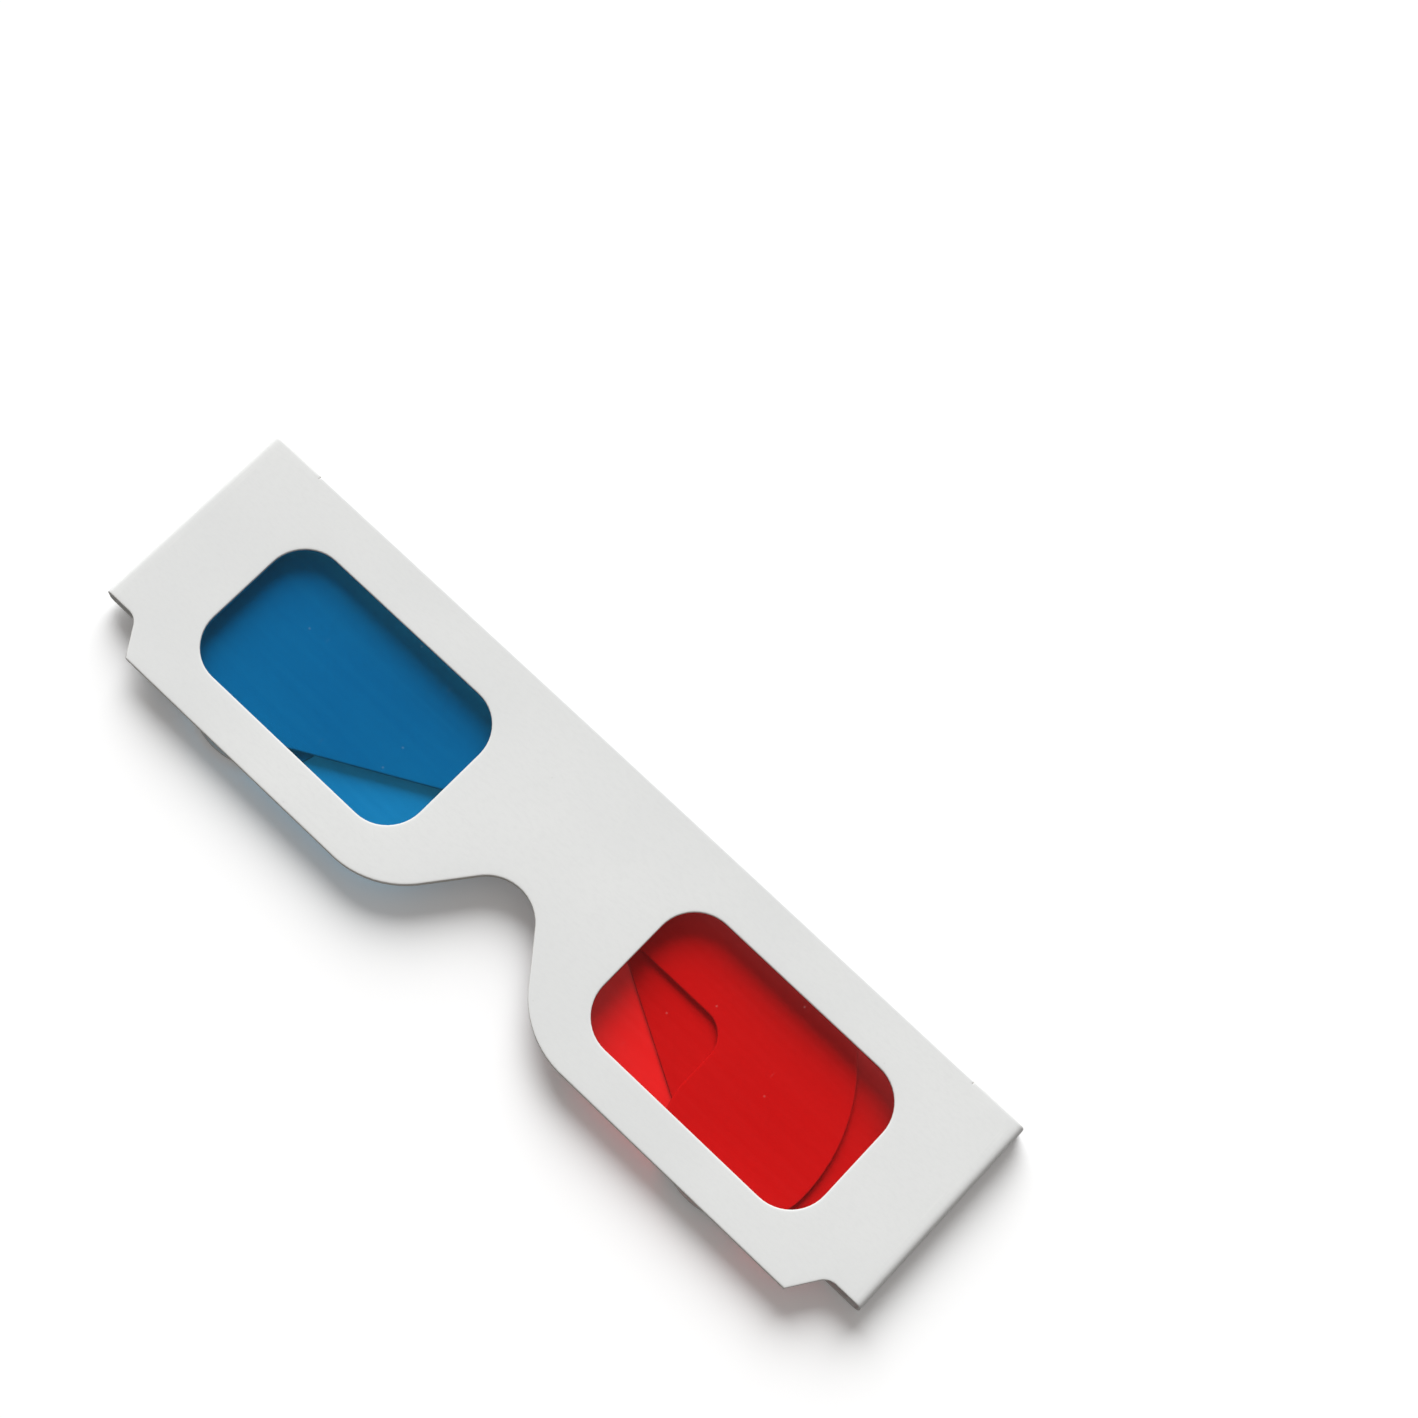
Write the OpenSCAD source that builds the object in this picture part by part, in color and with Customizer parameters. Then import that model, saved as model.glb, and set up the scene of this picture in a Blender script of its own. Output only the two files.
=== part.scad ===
// Folded paper 3D glasses: a two-ply card front with a blue and a red film,
// and two card temples that fold flat behind it on creases.
// The pair lies face up: X runs along the front, Y towards its upper edge.
// The underside of the outer temple is at Z = 0.

/* [Card and film] */
// Thickness of the card
card_t = 0.4; // [0.25:0.05:0.6]
// Thickness of the coloured film, and of the adhesive beside it
film_t = 0.12; // [0.05:0.01:0.25]

/* [Windows] */
// Width of a window
window_w = 39.2; // [34:0.2:42]
// Height of a window
window_h = 23; // [18:0.2:26]
// Corner radius of a window
window_r = 6; // [2:0.2:8]
// Card between the two windows
bridge_w = 33.6; // [32:0.2:37]
// Card between the folded upper edge and a window
window_drop = 7.2; // [6:0.1:9]
// Card between a window and the lower edge
sill_h = 6.2; // [5.4:0.1:8]
// Overlap of the film past the edge of its window
film_lap = 2.5; // [1.5:0.1:3.6]
// Bare strip between a film and the adhesive
glue_gap = 0.2; // [0.1:0.05:0.5]
// Glued seam between that strip and the end of the back ply
seam_w = 1.5; // [1:0.1:3]

/* [Raised ends] */
// Length of the raised end beside each crease, along the lower edge
step_w = 8.8; // [7.6:0.2:11]
// Height by which the lower edge steps up at each end
step_h = 4.9; // [3.5:0.1:6]
// Steepness of the step, in degrees
step_slope = 56; // [45:1:75]
// Radius in the corner of the step
step_r = 2.4; // [1:0.1:3]

/* [Nose notch] */
// Height of the notch above the lower edge
notch_h = 13.9; // [12:0.1:15]
// Radius at the top of the notch
notch_r = 6.5; // [4:0.1:7.5]
// Radius where the notch flares into the lower edge
flare_r = 14; // [8:0.5:15]
// Steepness of the notch's sides, in degrees
notch_slope = 52; // [48:1:58]

/* [Temples] */
// Length of a temple, from the axis of its crease to its tip
temple_l = 121.5; // [115:0.5:126]
// Height of the straight shank
shank_h = 16.8; // [14:0.2:20]
// Length of the full-height root beside the crease
root_l = 27.6; // [22:0.1:34]
// Steepness of the taper from root to shank, in degrees
taper_slope = 28.5; // [22:0.5:40]
// Radius at both ends of the taper
taper_r = 12; // [4:0.5:16]
// Radius of the rounded upper corner of the tip
tip_r = 25.3; // [22:0.1:27]
// Width of the ear hook
hook_w = 21.4; // [16:0.2:22.4]
// Straight stretch on the outer side of the hook
hook_side = 0.4; // [0.2:0.1:3]
// Radius in the throat between the shank and the hook
throat_r = 4; // [2:0.2:7]

/* [Folded stack] */
// Gap between the back ply and the inner temple
inner_gap = 1.9; // [0.8:0.1:2.4]
// Gap between the inner and the outer temple
outer_gap = 0.8; // [0.3:0.1:1.2]

/* [Hidden] */
$fn = 96;

// How far a cutting shape reaches past the card
over = 1;
// How far a round reaches past the edges it joins, so that it cuts them cleanly
bite = 0.01;

// Heights of the undersides of the layers
outer_z = 0;
inner_z = outer_z + card_t + outer_gap;
back_z = inner_z + card_t + inner_gap;
film_z = back_z + card_t;
front_z = film_z + film_t;

// Windows, and films that lap past them
window_x = (bridge_w + window_w) / 2;
film_w = window_w + 2 * film_lap;

// The back ply ends a glued seam past the films, where the lower edge steps up
step_x = window_x + film_w / 2 + glue_gap + seam_w;

// Size of the front, over its creases and from its upper to its lower edge
front_w = 2 * (step_x + step_w);
front_h = window_drop + window_h + sill_h;

// Creases: the inner radius is half the space between front ply and temple
left_bend_r = (front_z - inner_z - card_t) / 2;
right_bend_r = (front_z - outer_z - card_t) / 2;
left_axis_x = -front_w / 2 + left_bend_r + card_t;
right_axis_x = front_w / 2 - right_bend_r - card_t;

// Upper and lower edges
hook_drop = tip_r + hook_side + hook_w / 2;
top_y = max(hook_drop, front_h) / 2;
low_y = top_y - front_h;
crease_h = front_h - step_h;

// The upper edge is folded between the two plies
fold_r = film_t / 2 + card_t;
fold_y = top_y - fold_r;

// Upper and lower edges of the windows and films
window_top = top_y - window_drop;
window_low = window_top - window_h;
film_top = window_top + film_lap;
film_low = window_low - film_lap;

// Nose notch: an arc between two straight sides that flare into the lower edge
notch_y = low_y + notch_h - notch_r;
notch_side = [-cos(notch_slope), sin(notch_slope)];
side_top = [notch_r * sin(notch_slope), notch_y + notch_r * cos(notch_slope)];
side_foot = [side_top[0] + (side_top[1] - low_y) / tan(notch_slope), low_y];

// Step in the lower edge beside the right crease
step_rise = [cos(step_slope), sin(step_slope)];
step_foot = [step_x, low_y];
step_head = step_foot + step_rise * step_h / sin(step_slope);
step_centre = arc_centre(step_head, -step_rise, [1, 0], step_r);
step_touch = arc_touch(-step_rise, [1, 0], step_r);

// Temple taper
taper_x = root_l + (crease_h - shank_h) / tan(taper_slope);

function unit(v) = v / norm(v);

// An arc of radius r that touches the two edges leaving a corner at p along
// the unit vectors a and b: its centre, and how far from p it touches them
function arc_centre(p, a, b, r) = p + unit(a + b) * r / sin(acos(a * b) / 2);
function arc_touch(a, b, r) = r / tan(acos(a * b) / 2);

// Area between a corner and the arc that rounds it
module corner(p, a, b, r) {
  touch = arc_touch(a, b, r);
  difference() {
    polygon([p + a * touch, p - unit(a + b) * over, p + b * touch, arc_centre(p, a, b, r)]);
    translate(arc_centre(p, a, b, r)) circle(r + bite);
  }
}

// Rounded rectangle of width w between two heights, about each window's middle
module window_pair(w, low, top, r, sides = [-1, 1]) {
  for (side = sides)
    translate([side * window_x, low]) {
      translate([r - w / 2, 0]) square([w - 2 * r, top - low]);
      translate([-w / 2, r]) square([w, top - low - 2 * r]);
      for (x = [r - w / 2, w / 2 - r], y = [r, top - low - r])
        translate([x, y]) circle(r);
    }
}

module window_cuts() {
  window_pair(window_w, window_low, window_top, window_r);
}

// Right end of the two-ply stretch, from the lower edge upwards
function ply_end() = [[step_x, low_y], [step_x, fold_y]];

// Right end of the front, which steps up to the crease at x and stands beside the fold
function stepped_end(x) = [
  step_foot, step_head - step_rise * step_touch, step_centre, step_head + [step_touch, 0],
  [x, step_head[1]], [x, top_y], [step_x, top_y], [step_x, fold_y]
];

function mirrored(points) = [for (i = [len(points) - 1:-1:0]) [-points[i][0], points[i][1]]];

// Outline shared by the plies and the adhesive, with its left end given as a right one
module front_outline(left_end, right_end) {
  side = [side_top, side_foot];
  difference() {
    polygon(concat([[0, notch_y]], side, right_end, mirrored(concat(side, left_end))));
    translate([0, notch_y]) circle(notch_r + bite);
    for (flip = [0, 1])
      mirror([flip, 0]) corner(side_foot, [1, 0], notch_side, flare_r);
  }
}

// Temple from its crease at x = 0, with its upper edge at y = 0
module temple_outline() {
  taper = [cos(taper_slope), sin(taper_slope)];
  hook_x = temple_l - hook_w;
  taper_end = [taper_x, -shank_h];
  taper_centre = arc_centre(taper_end, -taper, [1, 0], taper_r);
  taper_touch = arc_touch(-taper, [1, 0], taper_r);
  throat_centre = [hook_x - throat_r, -shank_h - throat_r];
  difference() {
    polygon([
      [0, 0], [0, -crease_h], [root_l, -crease_h],
      taper_end - taper * taper_touch, taper_centre, taper_end + [taper_touch, 0],
      throat_centre + [0, throat_r], throat_centre, throat_centre + [throat_r, 0],
      [hook_x, -hook_drop], [temple_l, -hook_drop], [temple_l, 0]
    ]);
    translate(taper_centre) circle(taper_r + bite);
    translate(throat_centre) circle(throat_r + bite);
    corner([root_l, -crease_h], [-1, 0], taper, taper_r);
    corner([temple_l, 0], [-1, 0], [0, -1], tip_r);
    corner([temple_l, -hook_drop], [-1, 0], [0, 1], hook_w / 2);
    corner([hook_x, -hook_drop], [1, 0], [0, 1], hook_w / 2);
  }
}

module sheet(z, t) {
  translate([0, 0, z]) linear_extrude(t) children();
}

// Half tube of length l along Z, with its bore of radius r open towards -X
module half_tube(r, l) {
  reach = r + card_t + over;
  difference() {
    cylinder(r = r + card_t, h = l);
    translate([0, 0, -over]) cylinder(r = r, h = l + 2 * over);
    translate([-reach, -reach, -over]) cube([reach, 2 * reach, l + 2 * over]);
  }
}

// Crease about an axis along Y at x, between the front and the temple behind it
module crease(x, r, side) {
  translate([x, top_y, front_z - r]) rotate([90, 0, 0])
    mirror([side < 0 ? 1 : 0, 0, 0]) half_tube(r, crease_h);
}

module front_ply() {
  color("whitesmoke") sheet(front_z, card_t) difference() {
    front_outline(stepped_end(-left_axis_x), stepped_end(right_axis_x));
    window_cuts();
    for (flip = [0, 1])
      mirror([flip, 0]) translate(step_centre) circle(step_r + bite);
  }
}

module back_ply() {
  color("whitesmoke") sheet(back_z, card_t) difference() {
    front_outline(ply_end(), ply_end());
    window_cuts();
  }
}

module top_fold() {
  color("white") translate([-step_x, fold_y, film_z + film_t / 2]) rotate([90, 0, 90])
    half_tube(film_t / 2, 2 * step_x);
}

module adhesive() {
  color("ivory") sheet(film_z, film_t) difference() {
    front_outline(ply_end(), ply_end());
    window_pair(film_w + 2 * glue_gap, film_low - glue_gap, film_top + glue_gap, window_r + glue_gap);
  }
}

module film(side) {
  sheet(film_z, film_t) window_pair(film_w, film_low, film_top, window_r, [side]);
}

module blue_film() {
  color("royalblue") film(-1);
}

module red_film() {
  color("crimson") film(1);
}

module left_crease() {
  color("white") crease(left_axis_x, left_bend_r, -1);
}

module right_crease() {
  color("white") crease(right_axis_x, right_bend_r, 1);
}

module left_temple() {
  color("gainsboro") sheet(inner_z, card_t) translate([left_axis_x, top_y]) temple_outline();
}

module right_temple() {
  color("gainsboro") sheet(outer_z, card_t) translate([right_axis_x, top_y]) mirror([1, 0])
    temple_outline();
}

front_ply();
back_ply();
top_fold();
adhesive();
blue_film();
red_film();
left_crease();
right_crease();
left_temple();
right_temple();
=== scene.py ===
import math

import bmesh
import bpy
import numpy as np
from mathutils import Matrix, Vector
from mathutils.geometry import delaunay_2d_cdt


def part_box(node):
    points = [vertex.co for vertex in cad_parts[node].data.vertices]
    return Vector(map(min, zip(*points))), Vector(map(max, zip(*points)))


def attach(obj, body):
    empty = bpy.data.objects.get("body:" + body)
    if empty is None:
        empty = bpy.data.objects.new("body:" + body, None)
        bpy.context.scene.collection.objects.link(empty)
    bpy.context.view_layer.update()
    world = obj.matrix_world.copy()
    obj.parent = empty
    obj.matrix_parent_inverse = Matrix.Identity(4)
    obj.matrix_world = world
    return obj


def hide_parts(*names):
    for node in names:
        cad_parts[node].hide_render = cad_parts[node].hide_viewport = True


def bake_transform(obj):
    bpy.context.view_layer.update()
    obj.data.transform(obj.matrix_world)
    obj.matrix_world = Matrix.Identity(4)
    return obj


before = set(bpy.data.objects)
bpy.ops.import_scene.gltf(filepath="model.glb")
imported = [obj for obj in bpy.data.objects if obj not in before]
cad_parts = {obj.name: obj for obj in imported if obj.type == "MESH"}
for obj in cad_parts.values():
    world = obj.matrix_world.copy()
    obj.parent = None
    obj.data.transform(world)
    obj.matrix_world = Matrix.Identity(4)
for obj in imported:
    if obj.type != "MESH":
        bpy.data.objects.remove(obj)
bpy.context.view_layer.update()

# Shapes are worked out in millimetres and written to the meshes in metres
MM = 0.001
# Points closer than this are one point
WELD = 0.001
# Gap between a temple and its crease, so that the opened temple stays clear of the front
SEAM_GAP = 0.02

# Distance between points along an outline, over a flat face, and along a bend
OUTLINE_STEP = 1.0
FLAT_STEP = (1.6, 1.6)
BEND_STEP = 1.2
# Points round a bend, and how square it is: 2 is round, and higher is squarer
BEND_POINTS = 28
BEND_SQUARENESS = 4.5
# Faces whose normals rise more than this belong to a sheet's upper side
UPWARD = 0.9
# Segments of an outline that turn by a smaller sine than this run straight on
STRAIGHT = 0.02
# In grid cells: how far inner points stay from an outline, how close points are one point,
# and the double area under which a triangle is left out, along a straight edge
EDGE_CLEARANCE = 0.6
GRID_WELD = 1e-6
SLIVER = 1e-4

# Rings of an edge as (inset from the edge, distance from the face), outwards from the face
CUT_UPPER = ((0.4, 0.0), (0.18, 0.008), (0.06, 0.03), (0.0, 0.09))
CUT_LOWER = ((0.05, 0.0), (0.0, 0.05))
SQUARE = ((0.0, 0.0),)
# Rings from this one outwards show the inside of the card
CUT_FROM = 2
# Faces that meet at less than this angle are shaded as one surface
SMOOTH_ANGLE = math.radians(55)

# How far the front bows up between its creases, and how far its card ripples
FRONT_BOW = 0.3
FRONT_RIPPLE = 0.05
# How far the inner temple droops and the outer one lifts, over which share of their length,
# and how far they and the films ripple
INNER_LIFT = -0.25
OUTER_LIFT = 0.05
LIFT_REACH = 0.4
TEMPLE_RIPPLE = 0.03
FILM_RIPPLE = 0.03
# Waves of the card across, up and aslant, as millimetres to a radian and a shift in radians,
# and how far along them the temples start
WAVE_ACROSS = (11, 0.7)
WAVE_UP = (9, -0.4)
WAVE_ASLANT = (23, -15, 2.1)
TEMPLE_START = 31
# Waves of a film in the same way, and the shares of the way from its border to its middle
# at which they start and are full
FILM_WAVE_ASLANT = (6.5, 17)
FILM_WAVE_UP = (8, 1)
FILM_FREE = (0.2, 1.6 / 3)

# Camera of the photograph, in millimetres: where it stands, what it aims at, which way is up,
# its lens, and its sensor
CAMERA_AT = (65.2, -62.3, 363.1)
CAMERA_AIM = (0.8, 31.0, 4.42)
CAMERA_UP = (-0.665, 0.685, 0.298)
CAMERA_LENS = 71.1
CAMERA_SENSOR = 36.0

# Key light: where it comes from in plan, how high it stands, how wide and how strong it is
KEY_FROM = (-0.63, 0.775)
KEY_ELEVATION = math.radians(33)
KEY_WIDTH = math.radians(50)
KEY_STRENGTH = 4.3
KEY_COLOUR = (0.985, 1.0, 1.01)

# Light of the room on the object
ROOM_COLOUR = (0.26, 0.247, 0.237, 1)
# White backdrop that the camera and reflections see, as (sine of the height, level)
BACKDROP = ((0.0, 1.0), (0.35, 1.0), (0.6, 0.26), (1.0, 0.1))
# Size of the floor in metres, and its own colour, which lights the object
FLOOR_SIZE = 6.0
FLOOR_COLOUR = (0.3, 0.3, 0.3, 1)
# What the camera and reflections see of it: a white paper, and a pale haze over its shadows
FLOOR_SEEN = (0.95, 0.95, 0.95, 1)
FLOOR_HAZE = (0.1, 0.1, 0.1, 1)

# Colours, in linear light
WHITE = (1, 1, 1, 1)
CARD_LIGHT = (0.79, 0.795, 0.785, 1)
CARD_SHADE = (0.75, 0.757, 0.75, 1)
CARD_FIBRE = (0.7, 0.705, 0.7, 1)
CARD_FLECK = (0.45, 0.44, 0.42, 1)
CARD_RUBBED = (0.84, 0.84, 0.825, 1)
CUT_LIGHT = (0.74, 0.73, 0.7, 1)
CUT_SHADE = (0.6, 0.59, 0.56, 1)
GLUE_LIGHT = (0.82, 0.8, 0.7, 1)
GLUE_SHADE = (0.72, 0.69, 0.58, 1)
DUST = (0.75, 0.73, 0.7, 1)
# What one face of a film lets through, and how it bends light
BLUE_THIN = (0.23, 0.68, 0.85, 1)
BLUE_THICK = (0.19, 0.65, 0.83, 1)
RED_THIN = (0.985, 0.32, 0.32, 1)
RED_THICK = (0.975, 0.28, 0.28, 1)
FILM_IOR = 1.5

# Noise as (waves to a metre, detail, roughness), and the range that most of it keeps to
CARD_CLOUDS = (40, 3, 0.5)
CARD_FIBRES = (900, 5, 0.65)
CARD_GRAIN = (5200, 2, 0.5)
CUT_NICKS = (1800, 3, 0.5)
FILM_CLOUDS = (70, 2, 0.5)
FILM_SMEARS = (500, 3, 0.5)
GLUE_LUMPS = (1500, 3, 0.5)
NOISE_RANGE = (0.3, 0.7)
# How much denser the fibres and the scratches are along each axis
FIBRE_STRETCH = (1, 2.4, 1)
SCRATCH_STRETCH = (1, 0.12, 1)
# Noise that runs along a piece: its waves to a metre along each axis, and (1, detail, roughness)
CREASE_WAVES = (2500, 120, 2500)
FOLD_WAVES = (120, 2500, 2500)
CRACKS = (1, 4, 0.6)
LAYER_WAVES = (900, 900, 14000)
CUT_LAYERS = (1, 4, 0.6)
DRAWN_WAVES = (30, 900, 30)
DRAWN_LINES = (1, 2, 0.5)
STREAK_WAVES = (300, 80, 300)
GLUE_STREAKS = (1, 3, 0.5)

# How a pattern shows, as (from its low, from its high, to low, to high)
FIBRES_SHOW = (0.45, 0.75, 0, 0.35)
EDGE_RUB = (0.2, 1, 0, 1)
FIBRES_RUB = (0.4, 0.65, 0.1, 0.6)
CRACKS_OPEN = (0.52, 0.62, 0, 1)
LAYERS_SHOW = (0.35, 0.65, 0, 1)
NICKS_SHOW = (0.55, 0.75, 0, 0.5)
DYE_SHOWS = (0.7, 1.3, 0, 1)
# Flecks as (cells to a metre, size in cells, share of the cells filled)
CARD_FLECKS = (260, 0.05, 0.04)
FILM_SPECKS = (240, 0.05, 0.1)
FILM_SCRATCHES = (420, 0.03, 0.1)
# How much flecks and cracks show
FLECKS_SHOW = 0.2
SPECKS_SHOW = 0.1
SCRATCHES_SHOW = 0.05
CRACKS_SHOW = 0.25
# Share of the grain and of the cracks in the card's relief
GRAIN_RELIEF = 0.35
CRACK_RELIEF = 0.5
# Relief as (strength, depth in metres)
CARD_BUMP = (0.25, 0.00002)
CUT_BUMP = (0.4, 0.00003)
FILM_BUMP = (0.1, 0.00001)
GLUE_BUMP = (0.3, 0.00003)
# Roughness, from the smoothest to the roughest places, and strength of the gloss
CARD_ROUGHNESS = (0.5, 0.68)
CUT_ROUGHNESS = (0.75, 0.9)
FILM_ROUGHNESS = (0.03, 0.09)
GLUE_ROUGHNESS = (0.35, 0.55)
CARD_GLOSS = 0.3
CUT_GLOSS = 0.2
GLUE_GLOSS = 0.5

# Sockets of a colour mix: its share and two colours, and its result
MIX_SHARE, MIX_A, MIX_B = 0, 6, 7
MIX_RESULT = 2


def mm_box(node):
    """The corners of a CAD node's box, in millimetres."""
    low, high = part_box(node)
    return np.array(low) / MM, np.array(high) / MM


LEFT_AXIS = mm_box("left_crease")[1][0]
RIGHT_AXIS = mm_box("right_crease")[0][0]
FOLD_Y = mm_box("top_fold")[0][1]


def outlines(node):
    """Closed outlines of a flat CAD node's upper face, each with the sheet on its left."""
    mesh = bmesh.new()
    mesh.from_mesh(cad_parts[node].data)
    bmesh.ops.remove_doubles(mesh, verts=mesh.verts, dist=WELD * MM)
    mesh.normal_update()
    upper = {face for face in mesh.faces if face.normal.z > UPWARD}
    following = {}
    for face in upper:
        for loop in face.loops:
            if not any(other in upper for other in loop.edge.link_faces if other is not face):
                following[loop.vert] = loop.link_loop_next.vert
    loops = []
    while following:
        first, vert = following.popitem()
        loop = [first.co.xy / MM]
        while vert is not first:
            loop.append(vert.co.xy / MM)
            vert = following.pop(vert)
        loops.append(divided(np.array(loop)))
    mesh.free()
    return loops


def divided(loop):
    """The loop with points added, so that no segment is longer than OUTLINE_STEP."""
    points = []
    for a, b in zip(loop, np.roll(loop, -1, 0)):
        count = math.ceil(np.linalg.norm(b - a) / OUTLINE_STEP)
        points += [a + (b - a) * i / count for i in range(count)]
    return np.array(points)


def moved_in(loop, amounts):
    """The loop with each of its segments moved into the sheet by its own amount."""
    along = np.roll(loop, -1, 0) - loop
    after = np.stack([-along[:, 1], along[:, 0]], 1) / np.linalg.norm(along, axis=1)[:, None]
    before, amounts_before = np.roll(after, 1, 0), np.roll(amounts, 1)
    turn = before[:, 0] * after[:, 1] - before[:, 1] * after[:, 0]
    straight = np.abs(turn) < STRAIGHT
    turn = np.where(straight, 1, turn)
    corner = np.stack([
        (amounts_before * after[:, 1] - amounts * before[:, 1]) / turn,
        (amounts * before[:, 0] - amounts_before * after[:, 0]) / turn,
    ], 1)
    mean = (before * amounts_before[:, None] + after * amounts[:, None]) / 2
    return loop + np.where(straight[:, None], mean, corner)


def inside(points, loops):
    """Which points lie inside the loops, by counting crossings."""
    x, y = points[:, 0], points[:, 1]
    odd = np.zeros(len(points), bool)
    for loop in loops:
        for (x0, y0), (x1, y1) in zip(loop, np.roll(loop, -1, 0)):
            if y0 != y1:
                crosses = ((y0 > y) != (y1 > y)) & (x < x0 + (y - y0) * (x1 - x0) / (y1 - y0))
                odd ^= crosses
    return odd


def triangle_grid(low, high):
    """Corners of even triangles with sides of 1, over the rectangle between two points."""
    rows = np.arange(low[1], high[1], math.sqrt(3) / 2)
    return np.array([
        (x + (row % 2) / 2, y) for row, y in enumerate(rows) for x in np.arange(low[0], high[0])
    ])


def filled(loops, step):
    """Points inside the loops, and triangles over the loops' points followed by these.

    step is the distance between the points along each axis.
    """
    loops = [loop / step for loop in loops]
    edge = np.concatenate(loops)
    grid = triangle_grid(edge.min(0), edge.max(0))
    grid = grid[inside(grid, loops)]
    grid = grid[[np.min(np.sum((edge - p) ** 2, 1)) > EDGE_CLEARANCE ** 2 for p in grid]]
    segments, first = [], 0
    for loop in loops:
        count = len(loop)
        segments += [(first + i, first + (i + 1) % count) for i in range(count)]
        first += count
    points = np.concatenate([edge, grid])
    _, _, faces, sources, _, _ = delaunay_2d_cdt(
        [Vector(p) for p in points], segments, [], 0, GRID_WELD)
    triangles = np.array([[sources[corner][0] for corner in face] for face in faces])
    triangles = triangles[inside(points[triangles].mean(1), loops)]
    a, b, c = (points[triangles[:, i]] for i in range(3))
    area = (b - a)[:, 0] * (c - a)[:, 1] - (b - a)[:, 1] * (c - a)[:, 0]
    triangles[area < 0] = triangles[area < 0][:, ::-1]
    return grid * step, triangles[np.abs(area) > SLIVER]


def walls(cuts, ring_count, ring_size):
    """Faces between each ring of points and the next, and which of them show the card's inside.

    cuts says of each loop's segments whether the card is cut there.
    """
    faces, cut_faces = [], set()
    for ring in range(ring_count - 1):
        first = ring * ring_size
        for cut in cuts:
            count = len(cut)
            for i in range(count):
                a, b = first + i, first + (i + 1) % count
                if cut[i] and ring >= CUT_FROM:
                    cut_faces.add(len(faces))
                faces.append((a, a + ring_size, b + ring_size, b))
            first += count
    return faces, cut_faces


def sheet(loops, low, high, upper=CUT_UPPER, lower=CUT_LOWER, step=FLAT_STEP, seam=None,
          seam_gap=0):
    """A closed sheet between two heights: its points, nearness to an edge, faces, and cut faces.

    seam says of two points of an outline that another piece joins on there, with no cut edge,
    and seam_gap how far the sheet stays away from that piece.
    """
    rings = [(inset, high - drop) for inset, drop in upper]
    rings += [(inset, low + rise) for inset, rise in reversed(lower)]
    widest = max(inset for inset, _ in rings) or 1
    cuts = [
        np.array([not (seam and seam(a, b)) for a, b in zip(loop, np.roll(loop, -1, 0))])
        for loop in loops
    ]
    points, near = [], []
    for inset, z in rings:
        for loop, cut in zip(loops, cuts):
            moved = moved_in(loop, np.where(cut, inset, seam_gap))
            points += [(x, y, z) for x, y in moved]
            near += [1 - inset / widest] * len(moved)
    size = len(points) // len(rings)
    faces, cut_faces = walls(cuts, len(rings), size)
    ends = np.cumsum([len(loop) for loop in loops])[:-1]
    for ring, flip in ((0, 1), (len(rings) - 1, -1)):
        flat = np.array(points[ring * size:(ring + 1) * size])
        grid, triangles = filled(np.split(flat[:, :2], ends), step)
        index = np.concatenate([np.arange(size) + ring * size, np.arange(len(grid)) + len(points)])
        faces += [tuple(int(index[i]) for i in triangle[::flip]) for triangle in triangles]
        points += [(x, y, flat[0, 2]) for x, y in grid]
        near += [0] * len(grid)
    return np.array(points), near, faces, cut_faces


def piece(name, form, materials, nodes, body=None):
    """A piece from a sheet, which replaces CAD nodes and rides on a body."""
    points, near, faces, cut_faces = form
    mesh = bpy.data.meshes.new(name)
    mesh.from_pydata((points * MM).tolist(), [], faces)
    for material in materials:
        mesh.materials.append(material)
    if len(materials) > 1:
        for index in cut_faces:
            mesh.polygons[index].material_index = 1
    edge = mesh.attributes.new("edge", "FLOAT", "POINT")
    edge.data.foreach_set("value", near)
    mesh.shade_smooth()
    mesh.set_sharp_from_angle(angle=SMOOTH_ANGLE)
    obj = bpy.data.objects.new(name, mesh)
    bpy.context.scene.collection.objects.link(obj)
    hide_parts(*nodes)
    if body:
        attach(obj, body)
    return obj


def shaped(form, lift):
    """The sheet with its points lifted by a function of their places in plan."""
    points, near, faces, cut_faces = form
    points[:, 2] += lift(points[:, 0], points[:, 1])
    return points, near, faces, cut_faces


def ripple(x, y):
    """Slow uneven waves between -1 and 1."""
    (across, across_shift), (up, up_shift) = WAVE_ACROSS, WAVE_UP
    crossed = np.sin(x / across + across_shift) * np.cos(y / up + up_shift)
    x_length, y_length, shift = WAVE_ASLANT
    return (crossed + np.sin(x / x_length + y / y_length + shift)) / 2


def front_lift(x, y):
    """The front bows up, with no lift or slope at its creases."""
    middle = (LEFT_AXIS + RIGHT_AXIS) / 2
    bow = np.cos(np.pi * (x - middle) / (RIGHT_AXIS - LEFT_AXIS)) ** 2
    return bow * (FRONT_BOW + FRONT_RIPPLE * ripple(x, y))


def film_lift(x0, y0, x1, y1):
    """The front's bow, with the film's own ripple dying out towards its glued border."""
    def lift(x, y):
        across = np.clip(1 - np.abs(2 * x - x0 - x1) / (x1 - x0), 0, 1)
        up = np.clip(1 - np.abs(2 * y - y0 - y1) / (y1 - y0), 0, 1)
        free = np.interp(np.minimum(across, up), FILM_FREE, (0, 1))
        x_length, y_length = FILM_WAVE_ASLANT
        up_length, up_shift = FILM_WAVE_UP
        waves = np.sin(x / x_length + y / y_length) * np.cos(y / up_length + up_shift)
        return front_lift(x, y) + FILM_RIPPLE * free * waves
    return lift


def temple_lift(axis, tip, height):
    """The temple lifts and ripples away from its crease, where it lies flat."""
    def lift(x, y):
        out = np.clip((x - axis) / (tip - axis) / LIFT_REACH, 0, 1)
        smooth = out ** 2 * (3 - 2 * out)
        return smooth * (height + TEMPLE_RIPPLE * ripple(x + TEMPLE_START, y))
    return lift


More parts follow.
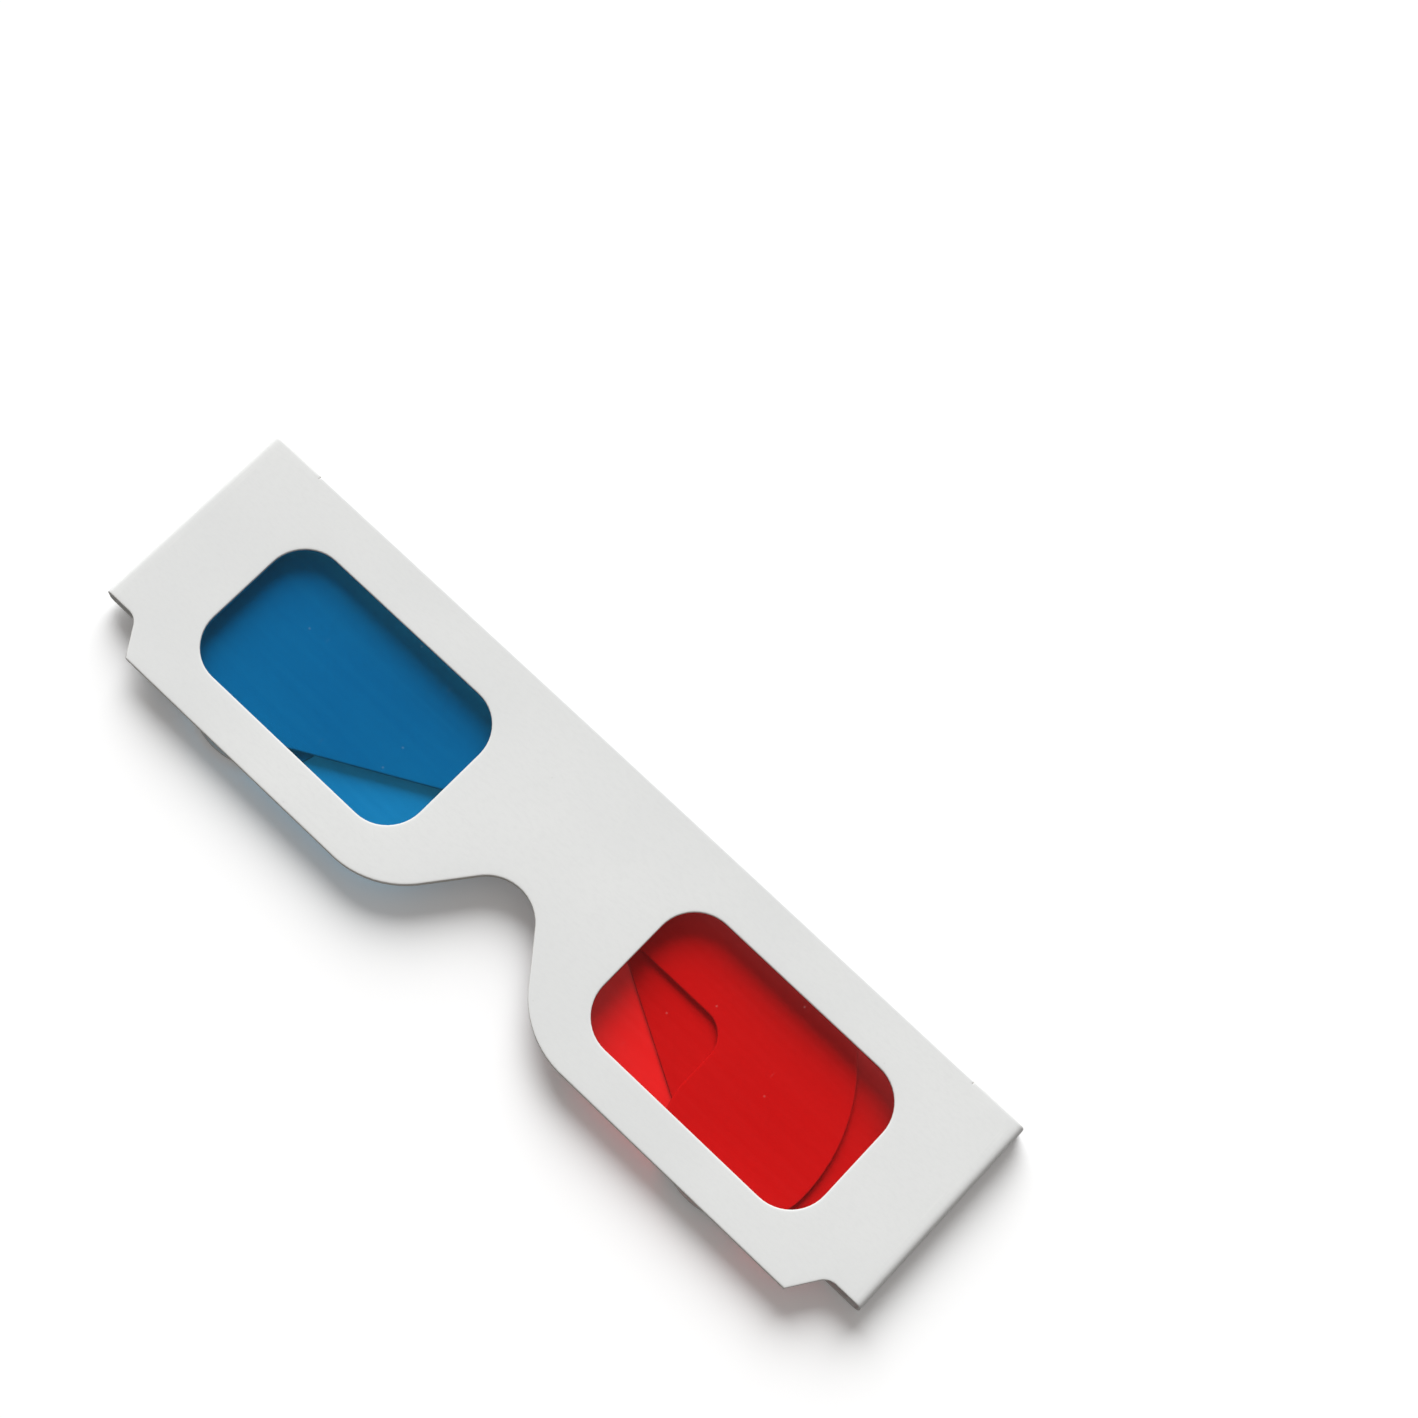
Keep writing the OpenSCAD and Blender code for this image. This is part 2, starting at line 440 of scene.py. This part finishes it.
def on_crease(a, b):
    """Whether two points both lie on the axis of a crease."""
    return any(abs(a[0] - x) < WELD and abs(b[0] - x) < WELD for x in (LEFT_AXIS, RIGHT_AXIS))


def on_fold(a, b):
    """Whether two points both lie on the axis of the upper fold."""
    return abs(a[1] - FOLD_Y) < WELD and abs(b[1] - FOLD_Y) < WELD


def bent_form(node, across, side=1):
    """A strip of card bent half a turn about an axis through the open side of a CAD half tube.

    across is the axis that the strip leaves the front along, and side its direction.
    """
    low, high = mm_box(node)
    card = mm_box("front_ply")[1][2] - mm_box("front_ply")[0][2]
    outer = (high[2] - low[2]) / 2
    along = 1 - across
    turn = np.linspace(0, side * math.pi, BEND_POINTS)
    length = np.linspace(low[along], high[along], math.ceil((high - low)[along] / BEND_STEP))
    steps = np.array([math.pi / BEND_POINTS, BEND_STEP])
    loop = np.array([
        *[(a, length[0]) for a in turn], *[(turn[-1], b) for b in length[1:-1]],
        *[(a, length[-1]) for a in turn[::-1]], *[(turn[0], b) for b in length[-2:0:-1]],
    ])
    if across == 1:
        loop, steps = loop[::-1, ::-1], steps[::-1]
    if side < 0:
        loop = loop[::-1]
    points, *rest = sheet(
        [loop], 0, card, step=steps, seam=lambda a, b: abs(a[across] - b[across]) < WELD)
    angle = np.abs(points[:, across])
    radius = outer - card + points[:, 2]
    power = 2 / BEND_SQUARENESS
    start = low[across] if side > 0 else high[across]
    points[:, across] = start + side * radius * np.clip(np.sin(angle), 0, 1) ** power
    rise = np.cos(angle)
    points[:, 2] = (low[2] + high[2]) / 2 + radius * np.sign(rise) * np.abs(rise) ** power
    return points, *rest


def add(tree, kind, inputs=None, **settings):
    """A new node with its settings, and its inputs set to values or linked to outputs."""
    node = tree.nodes.new(kind)
    for name, value in settings.items():
        setattr(node, name, value)
    for name, value in (inputs or {}).items():
        if isinstance(value, bpy.types.NodeSocket):
            tree.links.new(value, node.inputs[name])
        else:
            node.inputs[name].default_value = value
    return node


def new_material(name):
    """An empty material, and its tree of nodes."""
    material = bpy.data.materials.new(name)
    material.use_nodes = True
    material.node_tree.nodes.clear()
    return material, material.node_tree


def place(tree, scale=(1, 1, 1)):
    """The place on the piece, with each axis scaled."""
    where = add(tree, "ShaderNodeTexCoord").outputs["Object"]
    return add(tree, "ShaderNodeMapping", {"Vector": where, "Scale": scale}).outputs["Vector"]


def cloud(tree, where, scale, detail, roughness):
    """Smooth noise with so many waves to a metre."""
    return add(tree, "ShaderNodeTexNoise", {
        "Vector": where, "Scale": scale, "Detail": detail, "Roughness": roughness,
    }).outputs["Fac"]


def spread(tree, value, low, high, to_low, to_high):
    """The value taken from one range to another, and held to its ends."""
    return add(tree, "ShaderNodeMapRange", {
        "Value": value, "From Min": low, "From Max": high, "To Min": to_low, "To Max": to_high,
    }).outputs["Result"]


def worked_out(tree, a, b, operation="MULTIPLY"):
    """The product of two values, or what another operation makes of them."""
    return add(tree, "ShaderNodeMath", {0: a, 1: b}, operation=operation).outputs[0]


def mixed(tree, share, a, b):
    """Colour a with a share of colour b."""
    return add(tree, "ShaderNodeMix", {
        MIX_SHARE: share, MIX_A: a, MIX_B: b,
    }, data_type="RGBA").outputs[MIX_RESULT]


def mixed_shader(tree, share, a, b):
    """Shader a with a share of shader b."""
    return add(tree, "ShaderNodeMixShader", {0: share, 1: a, 2: b}).outputs[0]


def matt(tree, colour):
    """A surface without gloss."""
    return add(tree, "ShaderNodeBsdfDiffuse", {"Color": colour}).outputs[0]


def flecks(tree, where, scale, size, share):
    """Sparse round flecks, with so many cells to a metre and a share of the cells filled."""
    cells = add(tree, "ShaderNodeTexVoronoi", {"Vector": where, "Scale": scale},
                voronoi_dimensions="2D")
    pick = add(tree, "ShaderNodeSeparateColor", {"Color": cells.outputs["Color"]}).outputs[0]
    chosen = worked_out(tree, pick, share, "LESS_THAN")
    return worked_out(tree, chosen, spread(tree, cells.outputs["Distance"], 0, size, 1, 0))


def bumped(tree, height, strength, depth):
    """The direction of a surface with this relief."""
    return add(tree, "ShaderNodeBump", {
        "Height": height, "Strength": strength, "Distance": depth,
    }).outputs["Normal"]


def output(tree, shader):
    add(tree, "ShaderNodeOutputMaterial", {"Surface": shader})


def coat(tree, tone, roughness, gloss, normal):
    """An opaque surface, put out as the material."""
    shader = add(tree, "ShaderNodeBsdfPrincipled", {
        "Base Color": tone, "Roughness": roughness, "Specular IOR Level": gloss, "Normal": normal,
    })
    output(tree, shader.outputs[0])


def card_material(name, crack_waves=None):
    """White coated card: cloudy tone, fine fibres, flecks, rubbed edges, and cracks in a bend."""
    material, tree = new_material(name)
    where = place(tree)
    clouds = cloud(tree, where, *CARD_CLOUDS)
    fibres = cloud(tree, place(tree, FIBRE_STRETCH), *CARD_FIBRES)
    grain = cloud(tree, where, *CARD_GRAIN)
    tone = mixed(tree, spread(tree, clouds, *NOISE_RANGE, 0, 1), CARD_LIGHT, CARD_SHADE)
    tone = mixed(tree, spread(tree, fibres, *FIBRES_SHOW), tone, CARD_FIBRE)
    spots = worked_out(tree, flecks(tree, where, *CARD_FLECKS), FLECKS_SHOW)
    tone = mixed(tree, spots, tone, CARD_FLECK)
    edge = add(tree, "ShaderNodeAttribute", attribute_name="edge").outputs["Fac"]
    rub = worked_out(tree, spread(tree, edge, *EDGE_RUB), spread(tree, fibres, *FIBRES_RUB))
    tone = mixed(tree, rub, tone, CARD_RUBBED)
    height = mixed(tree, GRAIN_RELIEF, fibres, grain)
    if crack_waves:
        cracks = cloud(tree, place(tree, crack_waves), *CRACKS)
        crack = worked_out(tree, spread(tree, cracks, *CRACKS_OPEN), CRACKS_SHOW)
        tone = mixed(tree, crack, tone, CARD_RUBBED)
        height = mixed(tree, CRACK_RELIEF, height, cracks)
    roughness = spread(tree, fibres, *NOISE_RANGE, *CARD_ROUGHNESS)
    coat(tree, tone, roughness, CARD_GLOSS, bumped(tree, height, *CARD_BUMP))
    return material


def cut_edge_material():
    """Cut edge of the card, with the layers of its fibres."""
    material, tree = new_material("card_cut_edge")
    layers = cloud(tree, place(tree, LAYER_WAVES), *CUT_LAYERS)
    nicks = cloud(tree, place(tree), *CUT_NICKS)
    tone = mixed(tree, spread(tree, layers, *LAYERS_SHOW), CUT_LIGHT, CUT_SHADE)
    tone = mixed(tree, spread(tree, nicks, *NICKS_SHOW), tone, CARD_RUBBED)
    roughness = spread(tree, nicks, *NOISE_RANGE, *CUT_ROUGHNESS)
    coat(tree, tone, roughness, CUT_GLOSS, bumped(tree, layers, *CUT_BUMP))
    return material


def film_material(name, thin, thick):
    """Clear dyed film: uneven dye, gloss, faint drawing lines, and dust."""
    material, tree = new_material(name)
    where = place(tree)
    lines = cloud(tree, place(tree, DRAWN_WAVES), *DRAWN_LINES)
    dye = worked_out(tree, cloud(tree, where, *FILM_CLOUDS), lines, "ADD")
    tint = mixed(tree, spread(tree, dye, *DYE_SHOWS), thin, thick)
    clear = add(tree, "ShaderNodeBsdfTransparent", {"Color": tint}).outputs[0]
    normal = bumped(tree, lines, *FILM_BUMP)
    smears = cloud(tree, where, *FILM_SMEARS)
    gloss = add(tree, "ShaderNodeBsdfGlossy", {
        "Color": WHITE,
        "Roughness": spread(tree, smears, *NOISE_RANGE, *FILM_ROUGHNESS),
        "Normal": normal,
    }).outputs[0]
    back = add(tree, "ShaderNodeNewGeometry").outputs["Backfacing"]
    mirrored = add(tree, "ShaderNodeFresnel", {
        "IOR": spread(tree, back, 0, 1, FILM_IOR, 1 / FILM_IOR), "Normal": normal,
    }).outputs[0]
    specks = worked_out(tree, flecks(tree, where, *FILM_SPECKS), SPECKS_SHOW)
    scratches = flecks(tree, place(tree, SCRATCH_STRETCH), *FILM_SCRATCHES)
    scratches = worked_out(tree, scratches, SCRATCHES_SHOW)
    dusty = worked_out(tree, specks, scratches, "MAXIMUM")
    film = mixed_shader(tree, mirrored, clear, gloss)
    output(tree, mixed_shader(tree, dusty, film, matt(tree, DUST)))
    return material


def glue_material():
    """Dried glue: yellowish white, uneven, slightly glossy."""
    material, tree = new_material("glue")
    streaks = cloud(tree, place(tree, STREAK_WAVES), *GLUE_STREAKS)
    tone = mixed(tree, spread(tree, streaks, *NOISE_RANGE, 0, 1), GLUE_LIGHT, GLUE_SHADE)
    lumps = cloud(tree, place(tree), *GLUE_LUMPS)
    roughness = spread(tree, streaks, *NOISE_RANGE, *GLUE_ROUGHNESS)
    coat(tree, tone, roughness, GLUE_GLOSS, bumped(tree, lumps, *GLUE_BUMP))
    return material


def build_plies(materials):
    """The front panel, and the flap folded down behind it."""
    for name, node in (("front_card", "front_ply"), ("back_card", "back_ply")):
        low, high = mm_box(node)
        form = sheet(
            outlines(node), low[2], high[2],
            seam=lambda a, b: on_crease(a, b) or on_fold(a, b))
        piece(name, shaped(form, front_lift), materials, [node], "front")


def build_fold(materials):
    """The fold along the upper edge, between the two plies."""
    form = shaped(bent_form("top_fold", 1), front_lift)
    piece("upper_fold", form, materials, ["top_fold"], "front")


def build_glue():
    """The coat of glue between the plies, around the films."""
    low, high = mm_box("adhesive")
    form = sheet(outlines("adhesive"), low[2], high[2], SQUARE, SQUARE)
    piece("glue_coat", shaped(form, front_lift), (glue_material(),), ["adhesive"],
          "front")


def build_film(name, node, thin, thick):
    """A dyed film in its window."""
    low, high = mm_box(node)
    form = sheet(outlines(node), low[2], high[2], SQUARE, SQUARE)
    lift = film_lift(low[0], low[1], high[0], high[1])
    piece(name, shaped(form, lift), (film_material(node, thin, thick),), [node], "front")


def build_temple(word, side, axis, height, materials):
    """The temple on one side, lifted by a height away from its crease."""
    body = f"{word}_temple"
    low, high = mm_box(body)
    tip = high[0] if side < 0 else low[0]
    form = sheet(outlines(body), low[2], high[2], seam=on_crease, seam_gap=SEAM_GAP)
    lift = temple_lift(axis, tip, height)
    piece(f"{word}_temple_card", shaped(form, lift), materials, [body], body)


def build_crease(word, side, materials):
    """The crease on one side, which bends between the front and its temple."""
    node = f"{word}_crease"
    form = bent_form(node, 0, side)
    strip = piece(f"{word}_crease_card", form, materials, [node])
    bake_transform(strip)


def looked_at(tree):
    """1 for what the camera sees, also in a reflection or through glass, and 0 for lighting."""
    path = add(tree, "ShaderNodeLightPath").outputs
    indirect = worked_out(tree, path["Is Glossy Ray"], path["Is Transmission Ray"], "MAXIMUM")
    return worked_out(tree, path["Is Camera Ray"], indirect, "MAXIMUM")


def floor_material():
    """Paper that looks white without lighting the object more."""
    material, tree = new_material("floor")
    haze = add(tree, "ShaderNodeEmission", {"Color": FLOOR_HAZE}).outputs[0]
    white = add(tree, "ShaderNodeAddShader", {0: matt(tree, FLOOR_SEEN), 1: haze}).outputs[0]
    output(tree, mixed_shader(tree, looked_at(tree), matt(tree, FLOOR_COLOUR), white))
    material.cycles.emission_sampling = "NONE"
    return material


def build_floor():
    """The plain floor that the pair lies on."""
    mesh = bpy.data.meshes.new("floor")
    half = FLOOR_SIZE / 2
    corners = [(-half, -half, 0), (half, -half, 0), (half, half, 0), (-half, half, 0)]
    mesh.from_pydata(corners, [], [(0, 1, 2, 3)])
    mesh.materials.append(floor_material())
    floor = bpy.data.objects.new("floor", mesh)
    bpy.context.scene.collection.objects.link(floor)


def build_room():
    """Plain light from all round, with a white backdrop for the camera and reflections."""
    world = bpy.data.worlds.new("room")
    world.use_nodes = True
    tree = world.node_tree
    tree.nodes.clear()
    direction = add(tree, "ShaderNodeTexCoord").outputs["Generated"]
    height = add(tree, "ShaderNodeSeparateXYZ", {"Vector": direction}).outputs["Z"]
    ramp = add(tree, "ShaderNodeValToRGB", {"Fac": height})
    stops = ramp.color_ramp.elements
    while len(stops) < len(BACKDROP):
        stops.new(1)
    for stop, (position, level) in zip(stops, BACKDROP):
        stop.position = position
        stop.color = (level, level, level, 1)
    colour = mixed(tree, looked_at(tree), ROOM_COLOUR, ramp.outputs["Color"])
    background = add(tree, "ShaderNodeBackground", {"Color": colour})
    add(tree, "ShaderNodeOutputWorld", {"Surface": background.outputs[0]})
    bpy.context.scene.world = world


def build_key_light():
    """A wide soft lamp, which is kept out of reflections."""
    sun = bpy.data.lights.new("key", "SUN")
    sun.energy = KEY_STRENGTH
    sun.color = KEY_COLOUR
    sun.angle = KEY_WIDTH
    key = bpy.data.objects.new("key", sun)
    key.visible_glossy = False
    flat = Vector((*KEY_FROM, 0)).normalized() * math.cos(KEY_ELEVATION)
    towards = flat + Vector((0, 0, math.sin(KEY_ELEVATION)))
    key.rotation_euler = towards.to_track_quat("Z", "Y").to_euler()
    bpy.context.scene.collection.objects.link(key)


def build_camera():
    """The photograph's camera."""
    data = bpy.data.cameras.new("camera")
    data.lens = CAMERA_LENS
    data.sensor_width = CAMERA_SENSOR
    camera = bpy.data.objects.new("camera", data)
    forward = (Vector(CAMERA_AIM) - Vector(CAMERA_AT)).normalized()
    right = forward.cross(Vector(CAMERA_UP)).normalized()
    turn = Matrix((right, right.cross(forward), -forward)).transposed()
    camera.matrix_world = Matrix.Translation(Vector(CAMERA_AT) * MM) @ turn.to_4x4()
    bpy.context.scene.collection.objects.link(camera)
    bpy.context.scene.camera = camera


plain_card = card_material("card")
crease_card = card_material("card_crease", CREASE_WAVES)
fold_card = card_material("card_fold", FOLD_WAVES)
cut_edge = cut_edge_material()
build_plies((plain_card, cut_edge))
build_fold((fold_card, cut_edge))
build_glue()
build_film("blue_window_film", "blue_film", BLUE_THIN, BLUE_THICK)
build_film("red_window_film", "red_film", RED_THIN, RED_THICK)
for word, side, axis, height in (
    ("left", -1, LEFT_AXIS, INNER_LIFT),
    ("right", 1, RIGHT_AXIS, OUTER_LIFT),
):
    build_temple(word, side, axis, height, (plain_card, cut_edge))
    build_crease(word, side, (crease_card, cut_edge))
build_floor()
build_room()
build_key_light()
build_camera()
bpy.context.scene.view_settings.view_transform = "Standard"
